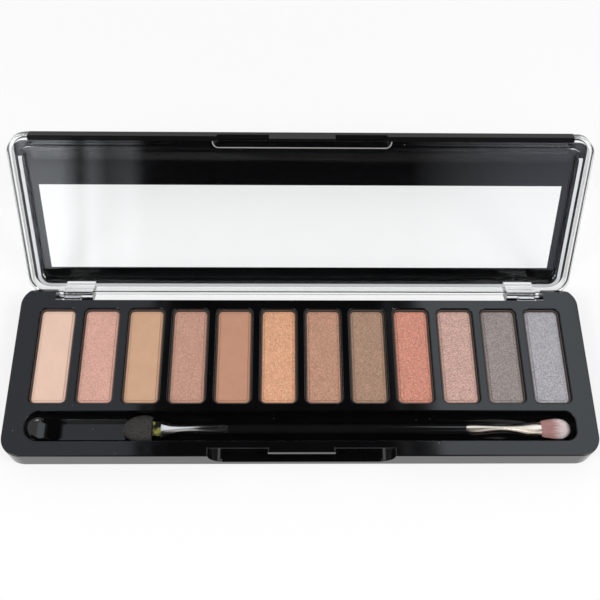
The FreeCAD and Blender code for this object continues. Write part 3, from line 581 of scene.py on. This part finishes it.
class PALETTE_OT_handle(bpy.types.Operator):
    """Finish the applicator's handle, its two ferrules and the sponge's holder"""

    bl_idname = "palette.handle"
    bl_label = "Handle and ferrules"

    # Painted reflection on the holder's metal: a dark shade and a yellowish green one, standing in for what
    # the metal reflects
    holder_dark_reflection = (0.10, 0.095, 0.07)
    holder_yellowish_reflection = (0.60, 0.56, 0.14)

    def execute(self, context):
        look = context.scene.palette_applicator
        handle = gloss_black("handle_gloss_black", look.handle, roughness=0.06, dust=0.03, wave=14 * MM)
        wear("applicator_handle", handle)
        wear("sponge_ferrule", fine_metal("ferrule_bright", look.bright, roughness=0.13))
        wear("brush_ferrule", fine_metal("ferrule_champagne", look.champagne, roughness=0.2))

        holder = Finish("holder_metal", {"Metallic": 1.0})
        # Painted reflection: yellowish green patches over the dark metal
        yellowish_reflection = holder.remap(holder.noise(2.4 * MM, detail=1.0), 0.40, 0.56, 0.0, 1.0)
        holder.set("Base Color", holder.mix(yellowish_reflection, self.holder_dark_reflection, self.holder_yellowish_reflection))
        holder.set("Roughness", holder.between(yellowish_reflection, 0.1, 0.28))
        wear("sponge_holder", holder)
        return {"FINISHED"}


def along(profile, share_of_length):
    """A smooth value between the (share, value) pairs of a profile."""
    points = [profile[0], *profile, profile[-1]]
    for before, start, end, after in zip(points, points[1:], points[2:], points[3:]):
        if share_of_length <= end[0] and end[0] > start[0]:
            run = end[0] - start[0]
            t = (share_of_length - start[0]) / run
            slope_in = (end[1] - before[1]) / (end[0] - before[0]) * run
            slope_out = (after[1] - start[1]) / (after[0] - start[0]) * run
            return ((2 * t ** 3 - 3 * t ** 2 + 1) * start[1] + (t ** 3 - 2 * t ** 2 + t) * slope_in
                    + (3 * t ** 2 - 2 * t ** 3) * end[1] + (t ** 3 - t ** 2) * slope_out)
    return profile[-1][1]


def new_piece(name, points, faces, finish, body, slot, *stands_for):
    """A mesh object that rides on a body and stands for CAD nodes."""
    mesh = bpy.data.meshes.new(name)
    mesh.from_pydata(points, [], faces)
    mesh.validate()
    for face in mesh.polygons:
        face.use_smooth = True
    mesh.materials.append(finish.material)
    piece = bpy.data.objects.new(name, mesh)
    bpy.context.scene.collection.objects.link(piece)
    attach(piece, body)
    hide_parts(*stands_for)
    return piece


class PALETTE_OT_sponge(bpy.types.Operator):
    """Make the foam tip over its holder"""

    bl_idname = "palette.sponge"
    bl_label = "Foam tip"

    # Half width and half thickness from the blunt end to the tip, as shares of the box
    widths = ((0.0, 0.86), (0.1, 0.95), (0.3, 1.0), (0.62, 0.86), (0.86, 0.54), (1.0, 0.16))
    thicknesses = ((0.0, 0.8), (0.1, 0.93), (0.3, 1.0), (0.62, 0.9), (0.86, 0.62), (1.0, 0.2))
    rings = 96
    sides = 168

    # Half sizes of the slot that takes the holder, how square its corners are, and the room past its end
    slot_wide = 2.55 * MM
    slot_thick = 0.5 * MM
    slot_square = 1.0 / 3.0
    slot_room = 0.05 * MM
    # Shares of the way out across the blunt end, and of the last ring's size as the tip closes
    end_shares = (0.25, 0.5, 0.75, 0.95)
    tip_shares = (0.8, 0.5, 0.22)
    # Where the rings along the sides begin and how far they go, in shares of the length
    side_start = 0.012
    side_length = 0.985
    # Size of the open cells and of the slow waves in the foam
    pore = 0.42 * MM
    wave = 0.9 * MM
    # How far a cell opens from its middle, and the strength and level of the waves, as shares
    pore_reach = 0.5
    wave_strength = 0.35
    wave_level = 0.6

    def slot_ring(self, x, middle):
        """A squarish ring of points round the holder."""
        ring = []
        for i in range(self.sides):
            turn = FULL_TURN * i / self.sides
            y = math.copysign(abs(math.cos(turn)) ** self.slot_square, math.cos(turn))
            z = math.copysign(abs(math.sin(turn)) ** self.slot_square, math.sin(turn))
            ring.append(Vector((x, middle.y + self.slot_wide * y, middle.z + self.slot_thick * z)))
        return ring

    def oval_ring(self, low, high, place, share_in):
        """An oval ring of points at a place along the foam."""
        size = high - low
        middle = (low + high) / 2
        wide = along(self.widths, place) * size.y / 2 * share_in
        thick = along(self.thicknesses, place) * size.z / 2 * share_in
        ring = []
        for i in range(self.sides):
            turn = FULL_TURN * i / self.sides
            ring.append(Vector((high.x - place * size.x, middle.y + wide * math.cos(turn),
                                middle.z + thick * math.sin(turn))))
        return ring

    def outline(self, low, high):
        """Rings of points: the holder's slot, the blunt end, the sides and in to the tip."""
        middle = (low + high) / 2
        floor = self.slot_ring(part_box("sponge_holder")[0].x - self.slot_room, middle)
        mouth = self.slot_ring(high.x, middle)
        blunt = self.oval_ring(low, high, 0.0, 1.0)
        rings = [floor, mouth]
        for share_out in self.end_shares:
            rings.append([start.lerp(end, share_out) for start, end in zip(mouth, blunt)])
        for i in range(self.rings + 1):
            rings.append(self.oval_ring(low, high, i / self.rings * self.side_length + self.side_start, 1.0))
        for share_in in self.tip_shares:
            rings.append(self.oval_ring(low, high, 1.0, share_in))
        return rings

    def open_pores(self, rings, middle, depth):
        """Sink the foam's open cells into all the rings but the slot's."""
        for point in [point for ring in rings[2:] for point in ring]:
            cell = noise.voronoi(point / self.pore)[0][0]
            swell = noise.noise(point / self.wave) + self.wave_level
            pore = max(0.0, self.pore_reach - cell) + self.wave_strength * swell
            inward = Vector((0.0, middle.y - point.y, middle.z - point.z))
            if inward.length > 0:
                point += inward.normalized() * depth * pore

    def skin(self, rings):
        """Faces between the rings, with the slot's floor and the tip closed."""
        faces = [tuple(range(self.sides))]
        for ring in range(len(rings) - 1):
            for i in range(self.sides):
                here = ring * self.sides + i
                beside = ring * self.sides + (i + 1) % self.sides
                faces.append((here, here + self.sides, beside + self.sides, beside))
        count = len(rings) * self.sides
        faces.append(tuple(reversed(range(count - self.sides, count))))
        return faces

    def charcoal_foam(self, shade):
        """Dark foam with open cells, painted shade in their middles, and flecks."""
        foam = Finish("foam_charcoal", {"IOR": 1.35, "Specular IOR Level": 0.25})
        cell = foam.cells(self.pore)
        fleck = foam.noise(0.3 * MM, detail=3.0, roughness=0.65)
        # Painted shade: each open cell is darker in its middle, where its pit is deepest
        tone = foam.math("MULTIPLY", foam.remap(cell.outputs["Distance"], 0.0, 0.7, 0.6, 1.25),
                         foam.remap(fleck, 0.3, 0.72, 0.35, 2.0))
        foam.set("Base Color", foam.scaled(shade, tone))
        foam.set("Roughness", foam.vary(fleck, 0.8, 1.0))
        foam.set("Normal", foam.bump(cell.outputs["Distance"], 0.1 * MM, foam.bump(fleck, 0.05 * MM)))
        return foam

    def execute(self, context):
        look = context.scene.palette_applicator
        low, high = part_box("sponge_tip")
        rings = self.outline(low, high)
        self.open_pores(rings, (low + high) / 2, look.pore_depth)
        points = [point for ring in rings for point in ring]
        foam = self.charcoal_foam(look.foam)
        sponge = new_piece("foam_tip", points, self.skin(rings), foam,
                           "applicator", "sponge_foam", "sponge_tip")
        return {"FINISHED"}


class PALETTE_OT_bristles(bpy.types.Operator):
    """Make the brush from many fine hairs"""

    bl_idname = "palette.bristles"
    bl_label = "Brush hair"

    sides = 4
    # Where the rings of a hair stand along it, past the one inside the ferrule
    steps = (0.0, 0.04, 0.2, 0.42, 0.64, 0.84, 1.0)
    # Depth of the roots in the ferrule, and their half width and half thickness as shares of the box
    root_depth = 0.8 * MM
    root_wide = 0.6
    root_thick = 0.62
    # Most that a tip sways to each side and up or down, and the room kept inside the box
    sway_wide = 0.12 * MM
    sway_thick = 0.06 * MM
    inset = 0.1 * MM
    # Most that a hair falls short by chance, and above and below the middle, as shares of its length
    uneven = 0.05
    domed = 0.03
    # Thinnest and thickest hairs, as shares of the radius, and the share of it that a tip loses
    thinnest = 0.75
    thickest = 1.1
    taper = 0.82
    # Start of the random draws
    seed = 12
    # Half width and half thickness of the fan along its length, as shares of the box
    widths = ((0.0, 0.69), (0.04, 0.81), (0.18, 0.89), (0.4, 0.97), (0.6, 1.0), (1.0, 1.0))
    thicknesses = ((0.0, 0.88), (0.15, 0.98), (0.4, 1.0), (0.7, 0.84), (1.0, 0.45))
    # How far a hair reaches, by how far it stands from the middle
    reaches = ((0.0, 0.995), (0.25, 0.985), (0.5, 0.945), (0.7, 0.89), (0.85, 0.80), (1.0, 0.66))

    def add_ring(self, points, centre, radius):
        """Add the points of a small ring round a hair's middle line."""
        for side in range(self.sides):
            angle = FULL_TURN * (side + 0.5) / self.sides
            points.append(centre + Vector((0.0, radius * math.cos(angle), radius * math.sin(angle))))

    def add_skin(self, faces, first, last):
        """Add a hair's faces, from its root ring to its tip ring, with both ends closed."""
        faces.append(tuple(reversed(range(first, first + self.sides))))
        for ring in range(first, last, self.sides):
            for side in range(self.sides):
                here = ring + side
                beside = ring + (side + 1) % self.sides
                faces.append((here, beside, beside + self.sides, here + self.sides))
        faces.append(tuple(range(last, last + self.sides)))

    def fan(self, look, start):
        """Points and faces of all the hairs, which leave the ferrule at start."""
        low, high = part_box("bristle_tuft")
        size = high - low
        middle = (low + high) / 2
        visible = high.x - start
        half_y = size.y / 2 - self.inset
        half_z = size.z / 2 - self.inset
        chance = random.Random(self.seed)
        points = []
        faces = []
        for index in range(look.hairs):
            out = math.sqrt(chance.random())
            turn = FULL_TURN * chance.random()
            across = out * math.cos(turn)
            up = out * math.sin(turn)
            short = self.uneven * chance.random() ** 2 + self.domed * abs(up)
            reach = along(self.reaches, abs(across)) - short
            sway_y = chance.uniform(-self.sway_wide, self.sway_wide)
            sway_z = chance.uniform(-self.sway_thick, self.sway_thick)
            radius = look.hair_radius * chance.uniform(self.thinnest, self.thickest)
            first = len(points)
            root = Vector((start - self.root_depth, middle.y + across * self.root_wide * half_y,
                           middle.z + up * self.root_thick * half_z))
            self.add_ring(points, root, radius)
            for t in self.steps:
                place = t * reach
                y = middle.y + across * along(self.widths, place) * half_y + sway_y * t * t
                z = middle.z + up * along(self.thicknesses, place) * half_z + sway_z * t * t
                centre = Vector((start + visible * place, y, z))
                self.add_ring(points, centre, radius * (1.0 - self.taper * t ** 3))
            self.add_skin(faces, first, len(points) - self.sides)
        return points, faces

    def two_tone_hair(self, look, start, end):
        """Hair that goes from a dark root to a pale tip between two places along X."""
        hair = Finish("hair_two_tone", {"IOR": 1.45, "Sheen Weight": 0.15, "Specular IOR Level": 0.4})
        spot = hair.node("ShaderNodeSeparateXYZ", {"Vector": hair.place})
        streak = hair.streaks((60.0, 3600.0, 3600.0), detail=2.0)
        run = hair.remap(spot.outputs["X"], start, end, 0.0, 1.0)
        run = hair.math("ADD", run, hair.vary(streak, -0.14, 0.14))
        pale = hair.remap(run, 0.38, 0.72, 0.0, 1.0)
        strand = hair.streaks((20.0, 9000.0, 9000.0), detail=1.0)
        tone = hair.mix(pale, look.hair_root, look.hair_tip)
        hair.set("Base Color", hair.scaled(tone, hair.vary(strand, 0.78, 1.18)))
        hair.set("Roughness", hair.vary(strand, 0.42, 0.6))
        return hair

    def execute(self, context):
        look = context.scene.palette_applicator
        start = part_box("brush_ferrule")[1].x
        points, faces = self.fan(look, start)
        hair = self.two_tone_hair(look, start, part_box("bristle_tuft")[1].x)
        new_piece("brush_hair", points, faces, hair, "applicator", "bristle", "bristle_tuft")
        return {"FINISHED"}


# Stage

def sheet(name, first, second, material):
    """A flat piece of the stage between two edges, each given as half a width, a place and a height."""
    corners = [(-first[0], *first[1:]), first, second, (-second[0], *second[1:])]
    mesh = bpy.data.meshes.new(name)
    mesh.from_pydata(corners, [], [(0, 1, 2, 3)])
    mesh.materials.append(material)
    made = bpy.data.objects.new(name, mesh)
    bpy.context.scene.collection.objects.link(made)
    return made


def card(name, first, second, levels, through_clear=True, strength=2.0):
    """A studio card that gloss shows, and clear plastic if through_clear is set, with levels across it."""
    material = bpy.data.materials.new(name)
    nodes = Nodes(material)
    spot = nodes.node("ShaderNodeUVMap", uv_map="across")
    split = nodes.node("ShaderNodeSeparateXYZ", {"Vector": spot.outputs["UV"]})
    shade = nodes.ramp(split.outputs["X"], levels)
    glow = nodes.node("ShaderNodeEmission", {"Color": shade, "Strength": strength})
    nodes.node("ShaderNodeOutputMaterial", {"Surface": glow.outputs["Emission"]})
    made = sheet(name, first, second, material)
    across = made.data.uv_layers.new(name="across")
    for loop, uv in zip(across.data, ((0, 0), (1, 0), (1, 1), (0, 1))):
        loop.uv = uv
    made.visible_camera = False
    made.visible_diffuse = False
    made.visible_transmission = through_clear
    made.visible_shadow = False


class PALETTE_OT_stage(bpy.types.Operator):
    """Make the floor, the soft light, the studio cards and the camera"""

    bl_idname = "palette.stage"
    bl_label = "Stage"

    # Half the floor's width, and how far it lies under the palette
    floor_reach = 6.0
    floor_drop = 0.05 * MM
    # Softboxes, which point at the frame's origin
    softbox_size = 0.24
    softboxes = {"softbox_left": (-0.42, -0.25, 0.52), "softbox_right": (0.42, -0.20, 0.52)}
    # Width of the camera's sensor in its own unit, and the nearest that it sees
    sensor = 36.0
    nearest = 0.01

    # Height of the studio cards, and where along Y they stand and meet
    card_height = 0.45
    cards_front = -0.6
    cards_meet = 0.05
    cards_rear = 0.34
    cards_back = 0.55
    card_gap = 0.001
    # Half widths of the cards
    above_half = 0.27
    over_half = 0.25
    behind_half = 0.5
    front_half = 0.4

    # Shades of the cards, as shares of their strength
    dark = (0.003, 0.003, 0.003)
    dim = (0.03, 0.03, 0.032)
    grey = (0.16, 0.165, 0.17)
    mild = (0.3, 0.3, 0.3)
    soft = (0.42, 0.42, 0.42)
    light = (0.5, 0.5, 0.5)
    cool_mild = (0.3, 0.31, 0.32)
    cool_soft = (0.40, 0.44, 0.50)
    cool_light = (0.5, 0.53, 0.56)
    cool_bright = (0.84, 0.92, 1.0)
    blue_mild = (0.3, 0.31, 0.36)
    blue_soft = (0.45, 0.47, 0.55)
    white = (0.9, 0.95, 1.0)
    # Shades across each card, from left to right
    over_levels = (
        (0.0, cool_soft), (0.262, cool_soft), (0.272, grey), (0.28, dim), (0.288, grey), (0.30, dark),
        (0.31, dim), (0.32, dark), (0.66, dark), (0.675, dim), (0.685, grey), (0.70, dim), (0.725, grey),
        (0.745, cool_bright))
    above_levels = ((0.0, mild), (0.24, grey), (0.27, dark), (0.79, dark), (0.87, soft), (1.0, light))
    behind_levels = ((0.0, dark), (0.62, dark), (0.64, dim), (0.70, dim), (0.72, dark))
    front_levels = (
        (0.0, white), (0.20, white), (0.225, dim), (0.24, cool_light), (0.26, grey), (0.29, cool_mild),
        (0.31, dark), (0.66, dark), (0.72, grey), (0.80, blue_mild), (1.0, blue_soft))

    def seen(self, nodes):
        """1 for rays from the camera, a gloss or a clear piece, and 0 for the light that falls on things."""
        path = nodes.node("ShaderNodeLightPath").outputs
        shown = nodes.math("MAXIMUM", path["Is Camera Ray"], path["Is Glossy Ray"])
        return nodes.math("MAXIMUM", shown, path["Is Transmission Ray"])

    def make_floor(self, look):
        material = bpy.data.materials.new("floor_white")
        nodes = Nodes(material)
        matt = nodes.node("ShaderNodeBsdfPrincipled", {"Base Color": look.floor, "Roughness": 0.9,
                                                       "Specular IOR Level": 0.1})
        white = nodes.node("ShaderNodeEmission")
        amount = nodes.math("MULTIPLY", self.seen(nodes), look.floor_white)
        surface = nodes.either(amount, matt.outputs["BSDF"], white.outputs["Emission"])
        nodes.node("ShaderNodeOutputMaterial", {"Surface": surface})
        reach = self.floor_reach
        floor = sheet("floor", (reach, -reach, 0.0), (reach, reach, 0.0), material)
        floor.location.z = -self.floor_drop

    def make_sky(self, scene, look):
        world = bpy.data.worlds.new("studio")
        nodes = Nodes(world)
        level = nodes.math("MULTIPLY_ADD", self.seen(nodes), 1.0 - look.sky, look.sky)
        sky = nodes.node("ShaderNodeBackground", {"Color": (1.0, 1.0, 1.0), "Strength": level})
        nodes.node("ShaderNodeOutputWorld", {"Surface": sky.outputs["Background"]})
        scene.world = world

    def make_softboxes(self, scene, look):
        for name, place in self.softboxes.items():
            light = bpy.data.lights.new(name, "AREA")
            light.shape = "SQUARE"
            light.size = self.softbox_size
            light.energy = look.lamp
            lamp = bpy.data.objects.new(name, light)
            lamp.location = place
            lamp.rotation_euler = (-Vector(place)).to_track_quat("-Z", "Y").to_euler()
            lamp.visible_camera = False
            scene.collection.objects.link(lamp)

    def make_cards(self):
        top = self.card_height
        meeting = (self.above_half, self.cards_meet, top)
        card("card_over", meeting, (self.over_half, self.cards_rear, top), self.over_levels)
        card("card_above", (self.above_half, self.cards_front, top), meeting, self.above_levels)
        card("card_behind", (self.behind_half, self.cards_back, 0.0),
             (self.behind_half, self.cards_rear + self.card_gap, top),
             self.behind_levels, through_clear=False)
        card("card_front", (self.front_half, self.cards_front, 0.0),
             (self.front_half, self.cards_front, top), self.front_levels)

    def make_camera(self, scene, look):
        lens = bpy.data.cameras.new("photo_camera")
        lens.lens = look.lens
        lens.sensor_width = self.sensor
        lens.clip_start = self.nearest
        camera = bpy.data.objects.new("photo_camera", lens)
        camera.location = look.eye
        camera.rotation_euler = look.turn
        scene.collection.objects.link(camera)
        scene.camera = camera

    def execute(self, context):
        scene = context.scene
        look = scene.palette_stage
        self.make_floor(look)
        self.make_sky(scene, look)
        self.make_softboxes(scene, look)
        self.make_cards()
        self.make_camera(scene, look)
        scene.view_settings.view_transform = "Standard"
        return {"FINISHED"}


class PALETTE_PT_sidebar(bpy.types.Panel):
    """The palette's pieces and settings"""

    bl_idname = "PALETTE_PT_sidebar"
    bl_label = "Eyeshadow palette"
    bl_space_type = "VIEW_3D"
    bl_region_type = "UI"
    bl_category = "Palette"

    def draw(self, context):
        for operator in OPERATORS:
            self.layout.operator(operator.bl_idname)
        for name in SETTINGS:
            group = getattr(context.scene, name)
            box = self.layout.box()
            for key in group.bl_rna.properties.keys():
                if key not in ("rna_type", "name"):
                    box.prop(group, key)


SETTINGS = {
    "palette_case": PaletteCaseSettings,
    "palette_powders": PalettePowderSettings,
    "palette_lid": PaletteLidSettings,
    "palette_applicator": PaletteApplicatorSettings,
    "palette_stage": PaletteStageSettings,
}
OPERATORS = (
    PALETTE_OT_case,
    PALETTE_OT_pans,
    PALETTE_OT_powders,
    PALETTE_OT_lid,
    PALETTE_OT_handle,
    PALETTE_OT_sponge,
    PALETTE_OT_bristles,
    PALETTE_OT_stage,
)


def register():
    for name, group in SETTINGS.items():
        bpy.utils.register_class(group)
        setattr(bpy.types.Scene, name, PointerProperty(type=group))
    for operator in OPERATORS:
        bpy.utils.register_class(operator)
    bpy.utils.register_class(PALETTE_PT_sidebar)


def unregister():
    bpy.utils.unregister_class(PALETTE_PT_sidebar)
    for operator in reversed(OPERATORS):
        bpy.utils.unregister_class(operator)
    for name, group in reversed(SETTINGS.items()):
        delattr(bpy.types.Scene, name)
        bpy.utils.unregister_class(group)


def main():
    register()
    bpy.ops.palette.case()
    bpy.ops.palette.pans()
    bpy.ops.palette.powders()
    bpy.ops.palette.lid()
    bpy.ops.palette.handle()
    bpy.ops.palette.sponge()
    bpy.ops.palette.bristles()
    bpy.ops.palette.stage()


if __name__ == "__main__":
    main()
